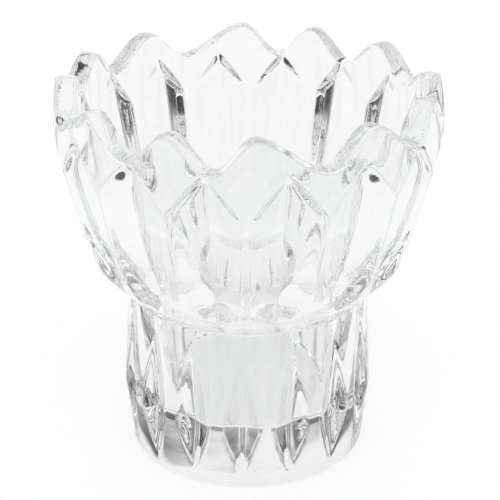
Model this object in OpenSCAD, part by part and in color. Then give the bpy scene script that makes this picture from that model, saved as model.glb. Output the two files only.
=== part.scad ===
// Flower frog of pressed clear glass: a flared bowl with a petalled rim on a
// drum foot that holds a round well for the stem ends.
// Z is the axis of symmetry and the foot rests on Z = 0.

/* [Overall] */
// Height from the resting face to the tips of the petals
total_h = 133; // [120:1:145]
// Outer radius at the tips of the petals
rim_r = 62.5; // [61:0.5:64]
// Thickness of the glass at the rim
rim_wall = 6.9; // [6:0.1:8]

/* [Bowl] */
// Height of the neck, where the bowl is fused to the foot
neck_z = 58.4; // [56:0.2:60]
// Outer radius of the neck
neck_r = 41.3; // [40.5:0.1:42]
// Radius of the bowl's lower corner
corner_r = 52.6; // [51.5:0.1:53.5]
// Height of the bowl's lower corner
corner_z = 70.2; // [69:0.2:72]
// Greatest radius, at the bulge below the rim
bulge_r = 64.2; // [63.5:0.1:65]
// Height of the bulge
bulge_z = 117.2; // [115:0.2:119]

/* [Petals and flutes] */
// Depth of the valleys between the petals
valley_drop = 10.2; // [8:0.1:11]
// Depth of the V-shaped flutes near their tops
flute_depth = 4.4; // [3:0.1:4.6]
// Half the width of a flute near its top
flute_half_w = 8.5; // [7:0.1:9]
// Depth of the flutes where they run out over the bowl's lower corner
flute_foot_depth = 3.4; // [2:0.1:3.8]
// Height at which the root of a flute turns out to close its pointed top
flute_close_z = 119; // [116:0.5:119.5]
// How steeply the closing faces run out, as a rise across the wall for each 1 up
flute_close_rise = 1.4; // [1.3:0.1:2]
// How steep the V of the closing faces is, as a rise for each 1 across
flute_close_slope = 1.8; // [1.5:0.1:2.5]
// How far the flutes are turned from standing halfway between the row's axes
flute_turn = 0.4; // [0:0.1:2]

/* [Foot] */
// Radius of the resting face
foot_r = 41.5; // [40:0.1:42.5]
// Radius of the heel, above the bevel
heel_r = 43.9; // [43:0.1:45]
// Height of the heel
heel_z = 23.5; // [21:0.5:26]
// Depth of the kite cuts at the heel
kite_depth = 4.3; // [3:0.1:5]
// Half the width of a kite cut at the heel
kite_half_w = 6.4; // [5:0.1:7.5]
// Height of the lower tip of the kite cuts
kite_low_z = 6.6; // [5:0.2:9]
// Height of the upper tip of the kite cuts
kite_high_z = 53; // [48:0.5:55]
// Direction of the first kite cut
kite_turn = 2.5; // [0:0.1:4]

/* [Well] */
// Radius of the well where it opens into the bowl
well_top_r = 32.5; // [31:0.1:34]
// Radius of the well at its floor
floor_r = 29.5; // [27:0.5:30]
// Height of the floor of the well
floor_z = 18; // [14:0.5:20]
// Radius of the round corner between the wall and the floor of the well
floor_round = 5; // [3:0.5:6]

/* [Hidden] */
$fn = 96;

glass_tint = [0.88, 0.93, 0.93, 0.55];
past = 1;              // how far a cutter runs past the face that it cuts
quadrants = 4;         // the rim repeats itself once in each quarter turn
flutes = 16;           // and as many kite cuts on the foot, halfway between them
pitch = 360 / flutes;

// directions of the petal tips and of the valleys that follow them, in one quarter
tips = [-2, 23, 52];
valleys = [9.6, 35.7, 67.5];

rim_in_r = rim_r - rim_wall;
bulge_in_r = rim_in_r + 0.6;
corner_in_r = corner_r - rim_wall - 1.7;   // the wall is a little thicker at the corner
corner_in_z = corner_z + 4;
valley_z = total_h - valley_drop;
rim_round = 1.6;       // rounding of the two edges of the fire-polished rim
bowl_bow = 2;          // how far the bowl's flank bows out of a straight line
well_draft = 4.8;      // slope of the wall of the well, in degrees off upright
tip_flat = 0.3;        // how far the waves of the rim would rise over the tips

function mix(a, b, t) = a + (b - a) * t;
function between(r0, z0, r1, z1, across, up) = [mix(r0, r1, across), mix(z0, z1, up)];

// points of a flank from (r0, z0) to (r1, z1) that bows out by bow at its middle
function flank(r0, z0, r1, z1, bow, steps = 6) =
    [for (i = [0:steps]) let (t = i / steps) [mix(r0, r1, t) + bow * 4 * t * (1 - t), mix(z0, z1, t)]];

// points of an arc about (r, z)
function arc(r, z, radius, from, to, steps = 3) =
    [for (i = [0:steps]) let (a = mix(from, to, i / steps)) [r + radius * cos(a), z + radius * sin(a)]];

bowl_section = concat(
    [[neck_r, neck_z],
     between(neck_r, neck_z, corner_r, corner_z, 0.3, 0.25),
     between(neck_r, neck_z, corner_r, corner_z, 0.82, 0.72)],
    flank(corner_r, corner_z, bulge_r, bulge_z, bowl_bow),
    arc(rim_r - rim_round, total_h - rim_round, rim_round, 0, 90),
    arc(rim_in_r + rim_round, total_h - rim_round, rim_round, 90, 180),
    flank(bulge_in_r, bulge_z, corner_in_r, corner_in_z, bowl_bow),
    [between(well_top_r, neck_z, corner_in_r, corner_z, 0.72, 0.72),
     between(well_top_r, neck_z, corner_in_r, corner_z, 0.3, 0.36),
     [well_top_r, neck_z]]);

foot_section = concat(
    [[0, 0], [foot_r, 0], [heel_r, heel_z], [neck_r, neck_z], [well_top_r, neck_z]],
    arc(floor_r - floor_round, floor_z + floor_round, floor_round, -well_draft, -90, 5),
    [[0, floor_z]]);

module revolve(points) rotate_extrude() polygon(points);

// turns its children, drawn along -Y, by a clockwise angle as seen from above
module facing(angle) rotate([0, 0, -angle]) children();

// an outline of (across, height) made solid along -Y, through the bowl's wall only
module through_wall(from_r) rotate([90, 0, 0]) translate([0, 0, from_r])
    linear_extrude(height = bulge_r + past - from_r) children();

// outline above the valley between the tips at from and to, a round-bottomed wave
module valley_outline(from, at, to) {
    half_out = rim_r * sin(at - from);
    half_back = rim_r * sin(to - at);
    steps = 10;
    polygon(concat(
        [for (i = [0:steps]) let (t = 1 - i / steps) [half_out * t, wave(t)]],
        [for (i = [1:steps]) let (t = i / steps) [-half_back * t, wave(t)]],
        [[-half_back, total_h + 2 * past], [half_out, total_h + 2 * past]]));
}

// height of the rim at t, from 0 in a valley to 1 at a tip, where a small flat is left
function wave(t) = valley_z + (valley_drop + tip_flat) * (1 - cos(180 * t)) / 2;

// slope of the faces of a V cut of that depth and half width in a round wall of radius r
function cut_slope(r, depth, half_w) = (depth - (r - sqrt(r ^ 2 - half_w ^ 2))) / half_w;

// a straight groove of V section whose root passes through (r0, z0) and, above it, (r1, z1);
// slope is how fast its faces rise across it, measured level
module v_groove(r0, z0, r1, z1, slope) {
    reach = 60;        // the V is cut this far across, to clear the wall
    tilt = atan2(r1 - r0, z1 - z0);
    rise = slope * cos(tilt) * reach;
    translate([0, -r0, z0]) rotate([tilt, 0, 0])
        linear_extrude(height = 4 * total_h, center = true)
            polygon([[0, 0], [reach, -rise], [-reach, -rise]]);
}

// a flute that runs from below the bowl's lower corner and closes to a point above
module flute() {
    root_r = bulge_r - flute_depth;
    intersection() {
        v_groove(corner_r - flute_foot_depth, corner_z, root_r, flute_close_z,
            cut_slope(bulge_r, flute_depth, flute_half_w));
        v_groove(root_r, flute_close_z, root_r + flute_close_rise, flute_close_z + 1, flute_close_slope);
    }
}

module bowl() color(glass_tint) difference() {
    revolve(bowl_section);
    for (i = [0:flutes - 1]) facing(flute_turn + (i + 0.5) * pitch) flute();
    for (quarter = [0:quadrants - 1], i = [0:len(tips) - 1]) {
        next_tip = i + 1 < len(tips) ? tips[i + 1] : tips[0] + 360 / quadrants;
        facing(quarter * 360 / quadrants + valleys[i])
            through_wall(rim_in_r - 2 * past) valley_outline(tips[i], valleys[i], next_tip);
    }
}

// a kite-shaped cut, deepest and widest at the heel, that runs out at its upper and lower tips
module kite_cut() {
    root_r = heel_r - kite_depth;
    high_r = mix(heel_r, neck_r, (kite_high_z - heel_z) / (neck_z - heel_z));
    low_r = mix(foot_r, heel_r, kite_low_z / heel_z);
    slope = cut_slope(heel_r, kite_depth, kite_half_w);
    intersection() {
        v_groove(root_r, heel_z, high_r, kite_high_z, slope);
        v_groove(low_r, kite_low_z, root_r, heel_z, slope);
    }
}

module foot() color(glass_tint) difference() {
    revolve(foot_section);
    for (i = [0:flutes - 1]) facing(kite_turn + i * pitch) kite_cut();
}

bowl();
foot();
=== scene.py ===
"""The looks of a clear pressed-glass flower frog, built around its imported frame."""
import math

import bpy
import numpy as np
from mathutils import Matrix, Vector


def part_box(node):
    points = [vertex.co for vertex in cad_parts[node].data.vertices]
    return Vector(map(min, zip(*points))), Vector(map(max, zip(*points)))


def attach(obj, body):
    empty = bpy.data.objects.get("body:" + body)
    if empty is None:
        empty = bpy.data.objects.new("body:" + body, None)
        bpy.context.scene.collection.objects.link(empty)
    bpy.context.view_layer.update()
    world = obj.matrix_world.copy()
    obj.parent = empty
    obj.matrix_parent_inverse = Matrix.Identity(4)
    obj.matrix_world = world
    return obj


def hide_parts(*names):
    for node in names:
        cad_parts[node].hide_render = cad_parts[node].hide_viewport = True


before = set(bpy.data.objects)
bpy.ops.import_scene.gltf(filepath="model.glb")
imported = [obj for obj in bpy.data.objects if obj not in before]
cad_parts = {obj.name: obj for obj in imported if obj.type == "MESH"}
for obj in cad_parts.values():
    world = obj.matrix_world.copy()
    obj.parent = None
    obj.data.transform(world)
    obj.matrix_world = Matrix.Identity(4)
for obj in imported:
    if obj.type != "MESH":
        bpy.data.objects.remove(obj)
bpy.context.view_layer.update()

MM = 0.001
DEG = math.pi / 180

# Sizes in millimetres, which are those of the frame's own nodes.
bowl_low, bowl_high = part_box("bowl")
TOTAL_H = bowl_high.z / MM
NECK_Z = bowl_low.z / MM
NECK_R = 41.3
CORNER_R, CORNER_Z = 52.6, 70.2
BULGE_R, BULGE_Z = 64.2, 117.2
RIM_R = 62.5
RIM_WALL = 6.9
RIM_ROUND, RIM_IN_ROUND = 1.2, 1.0      # roundings of the fire-polished rim, outside and inside
RIM_DOME = 0.35                         # how far the rim's top is domed
VALLEY_DROP = 10.2

FOOT_R = 41.5
HEEL_R, HEEL_Z = 43.9, 23.5
WELL_TOP_R = 32.5
FLOOR_R, FLOOR_Z = 29.5, 18.0

# Radii of the rounded corners along the profiles.
NECK_ROUND = 3.0
CORNER_ROUND, CORNER_IN_ROUND = 5.0, 12.0
SHOULDER_ROUND = 10.0
HEEL_ROUND = 1.0
FLOOR_ROUND = 3.0

# The waves of the rim: tips and the valleys that follow them, in each quarter turn.
TIPS = (-2.0, 23.0, 52.0)
VALLEYS = (9.6, 35.7, 67.5)
QUARTER = 90.0

# The V-shaped flutes of the bowl and the kite-shaped cuts of the foot.
FLUTES = 16
PITCH = 360.0 / FLUTES
FLUTE_TURN = 0.4 + PITCH / 2
FLUTE_DEPTH, FLUTE_HALF_W, FLUTE_FOOT_DEPTH = 4.4, 8.5, 3.4
# where the root of a flute turns out, how steeply it does, and how steep its V is there
CLOSE_Z, CLOSE_RISE, CLOSE_SLOPE = 119.0, 1.4, 1.8
KITE_TURN = 2.5
KITE_DEPTH, KITE_HALF_W = 4.3, 6.4
KITE_LOW_Z, KITE_HIGH_Z = 6.6, 53.0

# Brightness of the studio by the sine of the height above the horizon: a light box hangs high in
# front over a dark wall, the sides are dark, and a white wall stands behind under a dark ceiling.
IN_FRONT = ((0.05, 0.9), (0.25, 0.7), (0.35, 0.02), (0.60, 0.02), (0.76, 1.9), (0.92, 1.7), (1.0, 1.0))
AT_SIDES = ((0.01, 0.4), (0.09, 0.04), (0.64, 0.02), (0.80, 0.5), (0.95, 1.0))
BEHIND = ((0.12, 1.0), (0.52, 0.92), (0.64, 0.5), (0.76, 0.05), (0.95, 1.0))

# How far the pressed edges are softened: where two cuts meet, at the roots of the cuts, at their
# borders with the land between them, and where a cut's lower and upper parts meet.
EDGE_SOFT = 0.45
FLUTE_ROOT_SOFT, FLUTE_LAND_SOFT, FLUTE_MITRE_SOFT = 0.8, 1.5, 1.3
KITE_ROOT_SOFT, KITE_LAND_SOFT, KITE_MITRE_SOFT = 1.0, 0.5, 0.9


def mix(a, b, t):
    return a + (b - a) * t


def soft_min(a, b, soft):
    return 0.5 * (a + b - np.sqrt((a - b) ** 2 + soft ** 2))


def soft_max(a, b, soft):
    return 0.5 * (a + b + np.sqrt((a - b) ** 2 + soft ** 2))


def filleted(points, step):
    """An outline of (r, z, fillet radius) corners as closely spaced points with rounded corners."""
    corners = [np.array(p[:2], float) for p in points]
    path = [corners[0]]
    radii = [p[2] for p in points[1:-1]]
    for before, at, after, radius in zip(corners, corners[1:], corners[2:], radii):
        back = (before - at) / np.linalg.norm(before - at)
        on = (after - at) / np.linalg.norm(after - at)
        half = 0.5 * math.acos(np.clip(np.dot(back, on), -1, 1))
        if radius <= 0 or half > math.pi / 2 - 1e-3:
            path.append(at)
            continue
        reach = radius / math.tan(half)
        centre = at + (back + on) / np.linalg.norm(back + on) * radius / math.sin(half)
        start, end = at + back * reach - centre, at + on * reach - centre
        turn = math.acos(np.clip(np.dot(start, end) / radius ** 2, -1, 1))
        steps = max(3, int(turn * radius / step) + 1, int(turn / (6 * DEG)))
        for t in np.linspace(0, 1, steps + 1):
            swept = start * math.sin((1 - t) * turn) + end * math.sin(t * turn)
            path.append(centre + swept / math.sin(turn))
    path.append(corners[-1])
    dense = [path[0]]
    for a, b in zip(path, path[1:]):
        count = max(1, int(np.linalg.norm(b - a) / step))
        dense += [mix(a, b, (i + 1) / count) for i in range(count)]
    return np.array(dense)


def curved(points, count):
    """Corners of a smooth curve through the (r, z) points, whose heights rise or fall steadily."""
    r, z = np.array(points, float).T
    slope = np.gradient(r, z)
    corners = []
    for i in range(len(z) - 1):
        step = z[i + 1] - z[i]
        for t in np.arange(count) / count:
            bend = (2 * t ** 3 - 3 * t ** 2 + 1) * r[i] + (3 * t ** 2 - 2 * t ** 3) * r[i + 1]
            bend += step * ((t ** 3 - 2 * t ** 2 + t) * slope[i] + (t ** 3 - t ** 2) * slope[i + 1])
            corners.append((bend, z[i] + t * step, 0))
    return corners + [(r[-1], z[-1], 0)]


def rim_height(turn):
    """Height of the rim at each direction, in degrees clockwise from the front."""
    tips = [t + QUARTER * q for q in range(-1, 5) for t in TIPS]
    valleys = [v + QUARTER * q for q in range(-1, 5) for v in VALLEYS]
    stops = sorted([(t, 1.0) for t in tips] + [(v, 0.0) for v in valleys])
    at = np.array([s[0] for s in stops])
    up = np.array([s[1] for s in stops])
    turn = np.mod(turn, 360.0)
    i = np.clip(np.searchsorted(at, turn) - 1, 0, len(at) - 2)
    t = (turn - at[i]) / (at[i + 1] - at[i])
    level = mix(up[i], up[i + 1], t)
    wave = 0.5 * (1 - np.cos(math.pi * level))
    return TOTAL_H - VALLEY_DROP * (1 - wave)


def v_cut(angle, root, slope, soft):
    """Radius of a V-shaped cut at an angle in radians from its root, which is at radius root."""
    lateral = np.sqrt(np.sin(angle) ** 2 + (soft / root) ** 2) - soft / root
    return root / np.maximum(np.cos(angle) - slope * lateral, 0.2)


def line(z, r0, z0, r1, z1):
    """Radius at height z on the straight line through (r0, z0) and (r1, z1)."""
    return r0 + (r1 - r0) * (z - z0) / (z1 - z0)


def cut_slope(r, depth, half_w, soft):
    """Slope of the faces of a cut, with a rounded root, in a round wall of radius r."""
    return (depth - (r - math.sqrt(r ** 2 - half_w ** 2))) / (math.hypot(half_w, soft) - soft)


def cut_width(depth, r, slope):
    """Half width, in millimetres, of a V of that depth in a round wall of radius r."""
    return r * (np.sqrt(slope ** 2 + 2 * np.maximum(depth, 0) / r) - slope)


class Cuts:
    """A ring of V-shaped cuts, each a lower and an upper V that meet in a mitre."""

    def __init__(self, turn, low, mitre, high, slopes, softs):
        """low, mitre and high are (r, z) points on the root; slopes are those of the lower and the
        upper V, and softs are the softenings of the root, the land and the mitre."""
        self.turn, self.low, self.mitre, self.high = turn, low, mitre, high
        self.slope, self.high_slope = slopes
        self.root_soft, self.land_soft, self.mitre_soft = softs

    def roots(self, z):
        """Radii of the roots of the lower V and the upper V at height z."""
        return (line(z, *self.low, *self.mitre), line(z, *self.mitre, *self.high))

    def radius(self, turn, z):
        """Radius of the nearest cuts at each direction and height."""
        away = np.mod(turn - self.turn + PITCH / 2, PITCH) - PITCH / 2
        below, above = self.roots(z)
        cuts = []
        for offset in (away, PITCH - np.abs(away)):
            angle = offset * DEG
            one = v_cut(angle, below, self.slope, self.root_soft)
            two = v_cut(angle, above, self.high_slope, self.root_soft)
            cuts.append(soft_max(one, two, self.mitre_soft))
        return soft_min(cuts[0], cuts[1], EDGE_SOFT)

    def share(self, z, land):
        """The part of half a pitch, from 0 to 1, that a cut takes up at each height."""
        below, above = self.roots(z)
        depth = land - np.maximum(below, above)
        return cut_width(depth, land, self.slope) / (land * PITCH / 2 * DEG)

    def cut(self, turn, z, land):
        """Radius of the wall once the cuts are taken out of a wall of radius land."""
        return soft_min(land, self.radius(turn, z), self.land_soft)


FLUTE_ROOT_R = BULGE_R - FLUTE_DEPTH
FLUTE_SLOPE = cut_slope(BULGE_R, FLUTE_DEPTH, FLUTE_HALF_W, FLUTE_ROOT_SOFT)
flutes = Cuts(FLUTE_TURN,
              (CORNER_R - FLUTE_FOOT_DEPTH, CORNER_Z),
              (FLUTE_ROOT_R, CLOSE_Z),
              (FLUTE_ROOT_R + CLOSE_RISE, CLOSE_Z + 1),
              (FLUTE_SLOPE, CLOSE_SLOPE),
              (FLUTE_ROOT_SOFT, FLUTE_LAND_SOFT, FLUTE_MITRE_SOFT))
KITE_SLOPE = cut_slope(HEEL_R, KITE_DEPTH, KITE_HALF_W, KITE_ROOT_SOFT)
kites = Cuts(KITE_TURN,
             (line(KITE_LOW_Z, FOOT_R, 0, HEEL_R, HEEL_Z), KITE_LOW_Z),
             (HEEL_R - KITE_DEPTH, HEEL_Z),
             (line(KITE_HIGH_Z, HEEL_R, HEEL_Z, NECK_R, NECK_Z), KITE_HIGH_Z),
             (KITE_SLOPE, KITE_SLOPE),
             (KITE_ROOT_SOFT, KITE_LAND_SOFT, KITE_MITRE_SOFT))

LINES_IN, LINES_OUT = 15, 7      # grid lines across half a cut and half the land beside it
# The part of half a pitch that the lines inside a cut may take up, and what they take up at the rim.
LEAST_SHARE, MOST_SHARE, RIM_SHARE = 0.25, 0.9, 0.8
WELL_SHARE = 0.5
CROWDING = 1.4      # over 1, the lines on the land crowd towards the cut


def turns(centre, share):
    """Directions of the grid's lines, which crowd towards the roots and edges of the cuts."""
    share = np.clip(share, LEAST_SHARE, MOST_SHARE)
    inner = share * 0.5 * (1 - np.cos(math.pi * np.arange(LINES_IN) / LINES_IN))
    outer = share + (1 - share) * (np.arange(LINES_OUT) / LINES_OUT) ** CROWDING
    half = np.concatenate([inner, outer]) * PITCH / 2
    sector = np.sort(np.concatenate([half, [PITCH / 2], -half[:0:-1]]))
    return np.concatenate([centre + i * PITCH + sector for i in range(FLUTES)])


def ring(turn, r, z):
    """A closed row of points at radius r and height z; turn is clockwise from the front, in degrees."""
    angle = turn * DEG
    return np.stack([-r * np.sin(angle), -r * np.cos(angle), np.broadcast_to(z, angle.shape)], -1) * MM


def flat(value, turn):
    """The same value in every direction."""
    return np.full(turn.shape, float(value))


STEP = 0.95                             # between the rows of the grid, along the profiles
FINE_STEP, COARSE_STEP = 0.4, 1.5       # and on the outside of the bowl
FINE_LOW, FINE_HIGH = 108.0, 124.0      # where its rows are closest, for the tops of the flutes


def thinned(points):
    """Leaves out points that are closer together than the bowl's outside needs."""
    kept = [points[0]]
    for p in points[1:-1]:
        step = FINE_STEP if FINE_LOW < p[1] < FINE_HIGH else COARSE_STEP
        if np.linalg.norm(p - kept[-1]) >= step - 1e-6:
            kept.append(p)
    return np.array(kept + [points[-1]])


def thinned_disc(points):
    """Leaves out most of the points of the flat underside, which needs no more than a few rings."""
    on_disc = points[:, 1] < 1e-9
    disc = points[on_disc]
    return np.concatenate([disc[:-1:10], disc[-1:], points[~on_disc]])


# The bowl's flank outside, from the lower corner up, and its wall inside, from the rim down.
FLANK = ((CORNER_R, CORNER_Z), (56.9, 82.0), (60.9, 96.0), (63.4, 108.0), (64.15, 117.0), (63.6, 125.0),
         (RIM_R, TOTAL_H))
RIM_IN_R = RIM_R - RIM_WALL
CORNER_IN_R, CORNER_IN_Z = CORNER_R - RIM_WALL - 1.7, CORNER_Z + 4
INNER = ((RIM_IN_R, TOTAL_H), (55.9, 125.0), (55.7, 116.0), (54.6, 107.0), (51.8, 94.0), (48.2, 83.0),
         (CORNER_IN_R, CORNER_IN_Z))


def outer_bowl_profile():
    """From the neck up to the rim; the curve's first points are left to the corner's rounding."""
    under_z = NECK_Z + 1.6      # the underside of the bowl starts almost level
    points = filleted([(NECK_R, NECK_Z, 0),
                       (mix(NECK_R, CORNER_R, 0.1), under_z, NECK_ROUND),
                       (CORNER_R, CORNER_Z, CORNER_ROUND)]
                      + curved(FLANK, 8)[4:], FINE_STEP)
    return thinned(points[points[:, 1] <= TOTAL_H - RIM_ROUND])


def inner_bowl_profile():
    """From the rim down to the well; the curve's last points are left to the corner's rounding."""
    shoulder = (mix(WELL_TOP_R, CORNER_IN_R, 0.5), mix(NECK_Z, CORNER_Z, 0.54), SHOULDER_ROUND)
    points = filleted(curved(INNER, 6)[:-3]
                      + [(CORNER_IN_R, CORNER_IN_Z, CORNER_IN_ROUND), shoulder, (WELL_TOP_R, NECK_Z, 0)],
                      STEP * 2)
    return points[points[:, 1] <= TOTAL_H - RIM_IN_ROUND]


outer_bowl = outer_bowl_profile()
inner_bowl = inner_bowl_profile()
outer_foot = thinned_disc(filleted([(0, 0, 0), (FOOT_R, 0, HEEL_ROUND), (HEEL_R, HEEL_Z, HEEL_ROUND),
                                    (NECK_R, NECK_Z, 0)], STEP))
inner_well = filleted([(WELL_TOP_R, NECK_Z, 0), (FLOOR_R, FLOOR_Z, FLOOR_ROUND), (0, FLOOR_Z, 0)], STEP * 2)

# Over these heights the grid's lines take up the places that they have at the rim.
SETTLE_LOW, SETTLE_HIGH = 112.0, 120.0
STRETCH_Z = 119.0      # above this height the grid's rows follow the waves of the rim


def stretched(z, height, rounding):
    """Rows above STRETCH_Z are stretched so that the highest lies just under the rim's rounding."""
    top = TOTAL_H - rounding
    share = np.clip((z - STRETCH_Z) / (top - STRETCH_Z), 0, 1)
    return np.where(z > STRETCH_Z, mix(STRETCH_Z, height - rounding, share), z)


def outer_land(z):
    """Radius of the bowl's outside at height z, before the flutes are cut."""
    return np.interp(z, outer_bowl[:, 1], outer_bowl[:, 0])


def inner_land(z):
    """Radius of the bowl's inside at height z."""
    return np.interp(z, inner_bowl[::-1, 1], inner_bowl[::-1, 0])


def flute_share(z, land):
    """What the lines inside a flute take up at each height; it settles before the rim."""
    if z < CORNER_Z:
        return MOST_SHARE
    settled = float(np.clip((z - SETTLE_LOW) / (SETTLE_HIGH - SETTLE_LOW), 0, 1))
    return mix(float(flutes.share(z, land)), RIM_SHARE, settled)


def rim_rows():
    """Rows from the outside over the rim to the inside."""
    rows = []
    turn = turns(FLUTE_TURN, RIM_SHARE)
    height = rim_height(turn)
    out_r = flutes.cut(turn, height - RIM_ROUND, outer_land(height - RIM_ROUND))
    in_r = inner_land(height - RIM_IN_ROUND)
    top = height - RIM_DOME
    for angle in np.linspace(0, 90, 7)[1:]:
        across, up = math.cos(angle * DEG), math.sin(angle * DEG)
        drop = (RIM_ROUND - RIM_DOME) * (1 - up)
        rows.append(ring(turn, out_r - RIM_ROUND * (1 - across), top - drop))
    for t in (0.25, 0.5, 0.75):
        dome = RIM_DOME * 4 * t * (1 - t)
        rows.append(ring(turn, mix(out_r - RIM_ROUND, in_r + RIM_IN_ROUND, t), top + dome))
    for angle in np.linspace(90, 0, 10)[:-1]:
        across, up = math.cos(angle * DEG), math.sin(angle * DEG)
        drop = (RIM_IN_ROUND - RIM_DOME) * (1 - up)
        rows.append(ring(turn, in_r + RIM_IN_ROUND * (1 - across), top - drop))
    return rows


def bowl_rows():
    """Rows up the outside of the bowl, over the rim and down the inside."""
    rows = []
    for r, z in outer_bowl:
        turn = turns(FLUTE_TURN, flute_share(z, r))
        height = stretched(z, rim_height(turn), RIM_ROUND)
        land = outer_land(height) if z > STRETCH_Z else flat(r, turn)
        rows.append(ring(turn, flutes.cut(turn, height, land), height))
    rows += rim_rows()
    turn = turns(FLUTE_TURN, RIM_SHARE)
    for r, z in inner_bowl:
        height = stretched(z, rim_height(turn), RIM_IN_ROUND)
        rows.append(ring(turn, inner_land(height) if z > STRETCH_Z else flat(r, turn), height))
    return rows


def foot_rows():
    """Rows over the underside, up the outside of the foot and down the well."""
    rows = []
    for r, z in outer_foot[1:]:
        turn = turns(KITE_TURN, float(kites.share(z, r)))
        land = flat(r, turn)
        rows.append(ring(turn, kites.cut(turn, flat(z, turn), land) if z > HEEL_ROUND else land, z))
    turn = turns(KITE_TURN, WELL_SHARE)
    for r, z in inner_well[:-1]:
        rows.append(ring(turn, flat(r, turn), z))
    return rows


SHARP_ANGLE = 55 * DEG


def piece(name, rows, joint_row, low_centre=None, high_centre=None):
    """A closed mesh from rows of points. joint_row is the row after which the fused face lies.

    With no centres the last row joins the first; with them each end is closed by a fan."""
    count = len(rows[0])
    points = np.concatenate(rows)
    faces, fused = [], []
    last = len(rows) - (0 if low_centre is None else 1)
    around = np.arange(count)
    for j in range(last):
        a = j * count + around
        b = (j + 1) % len(rows) * count + around
        faces.append(np.stack([a, np.roll(a, 1), np.roll(b, 1), b], -1))
        fused += [j == joint_row] * count
    faces = [tuple(f) for f in np.concatenate(faces).tolist()]
    if low_centre is not None:
        base = len(points)
        points = np.concatenate([points, [low_centre, high_centre]])
        end = (len(rows) - 1) * count
        for i in range(count):
            before = (i - 1) % count
            faces.append((base, before, i))
            faces.append((end + i, end + before, base + 1))
        fused += [False] * (2 * count)
    mesh = bpy.data.meshes.new(name)
    mesh.from_pydata(points.tolist(), [], faces)
    mesh.polygons.foreach_set("material_index", np.array(fused, np.int32))
    mesh.polygons.foreach_set("use_smooth", np.ones(len(faces), bool))
    mesh.set_sharp_from_angle(angle=SHARP_ANGLE)
    mesh.validate()
    obj = bpy.data.objects.new(name, mesh)
    bpy.context.scene.collection.objects.link(obj)
    return obj


def glass_material():
    """Clear pressed glass with the slow, upright ripple of fire polishing and a finer grain over it."""
    material = bpy.data.materials.new("pressed_clear_glass")
    material.use_nodes = True
    nodes, links = material.node_tree.nodes, material.node_tree.links
    shader = nodes["Principled BSDF"]
    shader.inputs["Base Color"].default_value = (0.93, 0.933, 0.932, 1.0)
    shader.inputs["Transmission Weight"].default_value = 1.0
    shader.inputs["IOR"].default_value = 1.52
    where = nodes.new("ShaderNodeTexCoord")

    def noise(scale, stretch, detail):
        """Noise whose grains are drawn out upwards by a stretch under 1."""
        place = nodes.new("ShaderNodeMapping")
        place.inputs["Scale"].default_value = (1.0, 1.0, stretch)
        links.new(where.outputs["Object"], place.inputs["Vector"])
        node = nodes.new("ShaderNodeTexNoise")
        node.inputs["Scale"].default_value = scale
        node.inputs["Detail"].default_value = detail
        links.new(place.outputs["Vector"], node.inputs["Vector"])
        return node.outputs["Fac"]

    def bump(height, distance, strength, normal=None):
        node = nodes.new("ShaderNodeBump")
        node.inputs["Strength"].default_value = strength
        node.inputs["Distance"].default_value = distance
        links.new(height, node.inputs["Height"])
        if normal:
            links.new(normal, node.inputs["Normal"])
        return node.outputs["Normal"]

    slow = bump(noise(70.0, 0.3, 1.0), 0.0006, 0.25)
    fine = bump(noise(420.0, 0.12, 2.0), 0.00006, 0.2, slow)
    links.new(fine, shader.inputs["Normal"])
    haze = nodes.new("ShaderNodeMapRange")
    haze.inputs["From Min"].default_value = 0.45
    haze.inputs["From Max"].default_value = 0.8
    haze.inputs["To Min"].default_value = 0.0
    haze.inputs["To Max"].default_value = 0.035
    links.new(noise(160.0, 0.5, 3.0), haze.inputs["Value"])
    links.new(haze.outputs["Result"], shader.inputs["Roughness"])
    return material


def fused_material():
    """The joint inside the glass, where bowl and foot are one: nothing of it shows."""
    material = bpy.data.materials.new("fused_joint")
    material.use_nodes = True
    shader = material.node_tree.nodes["Principled BSDF"]
    shader.inputs["Alpha"].default_value = 0.0
    return material


def make_glass():
    glass, joint = glass_material(), fused_material()
    rows = bowl_rows()
    bowl = piece("bowl_glass", rows, len(rows) - 1)
    rows = foot_rows()
    outer_count = len(outer_foot) - 1
    foot = piece("foot_glass", rows, outer_count - 1, (0, 0, 0), (0, 0, FLOOR_Z * MM))
    for obj, node in ((bowl, "bowl"), (foot, "foot")):
        obj.data.materials.append(glass)
        obj.data.materials.append(joint)
        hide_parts(node)
        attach(obj, "root")


FLOOR_SIZE = 12.0
FLOOR_GAP = 0.0003      # a film of air, so that the glass and the floor don't share a face


def make_floor():
    """Pale paper that glows a little, so that it stays as bright as the walls."""
    mesh = bpy.data.meshes.new("floor")
    half = FLOOR_SIZE / 2
    corners = [(-half, -half, 0), (half, -half, 0), (half, half, 0), (-half, half, 0)]
    mesh.from_pydata(corners, [], [(0, 1, 2, 3)])
    floor = bpy.data.objects.new("floor", mesh)
    floor.location.z = -FLOOR_GAP
    bpy.context.scene.collection.objects.link(floor)
    material = bpy.data.materials.new("pale_floor")
    material.use_nodes = True
    shader = material.node_tree.nodes["Principled BSDF"]
    shader.inputs["Base Color"].default_value = (0.4, 0.4, 0.4, 1)
    shader.inputs["Roughness"].default_value = 0.9
    shader.inputs["Emission Color"].default_value = (1, 1, 1, 1)
    shader.inputs["Emission Strength"].default_value = 0.75
    mesh.materials.append(material)


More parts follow.
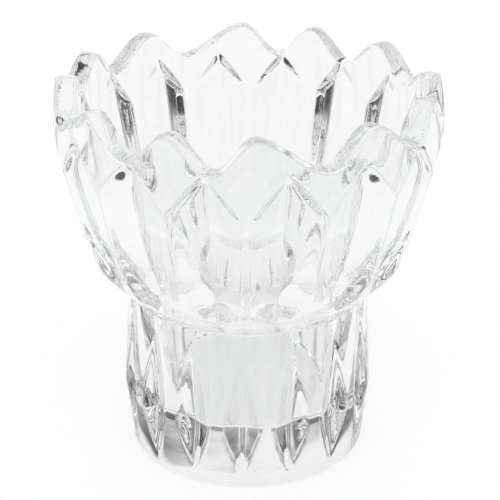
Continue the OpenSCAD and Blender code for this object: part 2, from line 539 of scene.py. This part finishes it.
def make_world():
    """The studio, painted on the sky: dark sides, a white wall behind and a light box in front."""
    world = bpy.data.worlds.new("studio")
    world.use_nodes = True
    bpy.context.scene.world = world
    nodes, links = world.node_tree.nodes, world.node_tree.links
    where = nodes.new("ShaderNodeTexCoord")
    split = nodes.new("ShaderNodeSeparateXYZ")
    links.new(where.outputs["Generated"], split.inputs["Vector"])

    def ramp(stops):
        """Brightness by height, from (sine of the height, level) stops."""
        node = nodes.new("ShaderNodeValToRGB")
        node.color_ramp.interpolation = "EASE"
        while len(node.color_ramp.elements) < len(stops):
            node.color_ramp.elements.new(0.5)
        for element, (position, level) in zip(node.color_ramp.elements, stops):
            element.position, element.color = position, (level, level, level, 1)
        links.new(split.outputs["Z"], node.inputs["Fac"])
        return node.outputs["Color"]

    def towards(low, high):
        """0 where the direction's Y is low, 1 where it is high."""
        node = nodes.new("ShaderNodeMapRange")
        node.interpolation_type = "SMOOTHSTEP"
        node.inputs["From Min"].default_value = low
        node.inputs["From Max"].default_value = high
        links.new(split.outputs["Y"], node.inputs["Value"])
        return node.outputs["Result"]

    def blended(share, a, b):
        node = nodes.new("ShaderNodeMix")
        node.data_type = "RGBA"
        links.new(share, node.inputs["Factor"])
        links.new(a, node.inputs["A"])
        links.new(b, node.inputs["B"])
        return node.outputs["Result"]

    walls = blended(towards(0.52, 0.88), ramp(AT_SIDES), ramp(BEHIND))
    studio = blended(towards(-0.1, -0.5), walls, ramp(IN_FRONT))
    # the camera itself sees plain white paper
    path = nodes.new("ShaderNodeLightPath")
    seen = nodes.new("ShaderNodeMix")
    seen.data_type = "RGBA"
    seen.inputs["B"].default_value = (1, 1, 1, 1)
    links.new(path.outputs["Is Camera Ray"], seen.inputs["Factor"])
    links.new(studio, seen.inputs["A"])
    links.new(seen.outputs["Result"], nodes["Background"].inputs["Color"])


CAMERA_AWAY = 7.392                 # in rim radii
CAMERA_DOWN = 25.47 * DEG
CAMERA_ROLL = 0.234 * DEG
LOOK_AT = (0.0103, 1.1139)          # to the right and up, in rim radii
SENSOR_WIDTH, LENS = 36.0, 96.4     # in millimetres


def make_camera():
    """Stands where the photograph was taken, a little above the rim, and looks down at the bowl."""
    camera = bpy.data.cameras.new("camera")
    camera.sensor_width = SENSOR_WIDTH
    camera.lens = LENS
    obj = bpy.data.objects.new("camera", camera)
    distance = CAMERA_AWAY * RIM_R * MM
    look_x, look_z = (share * RIM_R * MM for share in LOOK_AT)
    rise = distance * math.sin(CAMERA_DOWN)
    obj.location = (look_x, -distance * math.cos(CAMERA_DOWN), look_z + rise)
    pitched = Matrix.Rotation(math.pi / 2 - CAMERA_DOWN, 3, "X")
    obj.rotation_euler = (pitched @ Matrix.Rotation(CAMERA_ROLL, 3, "Z")).to_euler()
    bpy.context.scene.collection.objects.link(obj)
    bpy.context.scene.camera = obj


make_glass()
make_floor()
make_world()
make_camera()

scene = bpy.context.scene
scene.view_settings.view_transform = "Standard"
scene.cycles.max_bounces = 32
scene.cycles.transmission_bounces = 32
scene.cycles.glossy_bounces = 16
scene.cycles.transparent_max_bounces = 32
